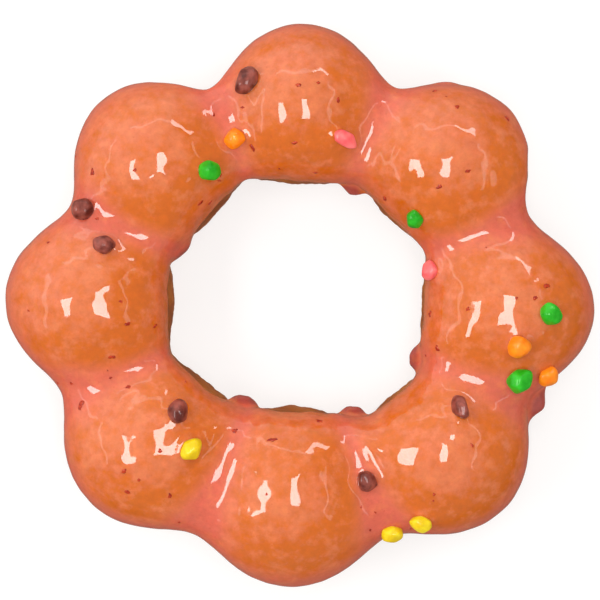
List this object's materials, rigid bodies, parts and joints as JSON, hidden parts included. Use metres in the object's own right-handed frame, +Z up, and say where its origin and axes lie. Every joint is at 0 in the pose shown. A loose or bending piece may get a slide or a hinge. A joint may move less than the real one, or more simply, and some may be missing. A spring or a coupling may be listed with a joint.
{
  "type": "ring doughnut",
  "caption": "Ring doughnut of joined dough balls with a glossy pink glaze over its upper half and a few sugar sprinkles.",
  "frame": {"origin": "middle of the base, on the surface that the doughnut lies on", "axes": "+Z up through the hole, with the glaze on top; X and Y lie in the ring's plane, and a ball points along +X"},
  "size_m": [0.0954, 0.0913, 0.0274],
  "materials": {
    "dough": "golden brown fried dough, slightly rough, with a paler band round its middle",
    "glaze": "wet translucent glaze, orange where it is thin and salmon pink where it pools, with small red specks and sugar sprinkles in brown, green, orange, yellow and pink"
  },
  "bodies": {
    "root": {"dough": "dough", "glaze": "glaze"}
  },
  "joints": []
}
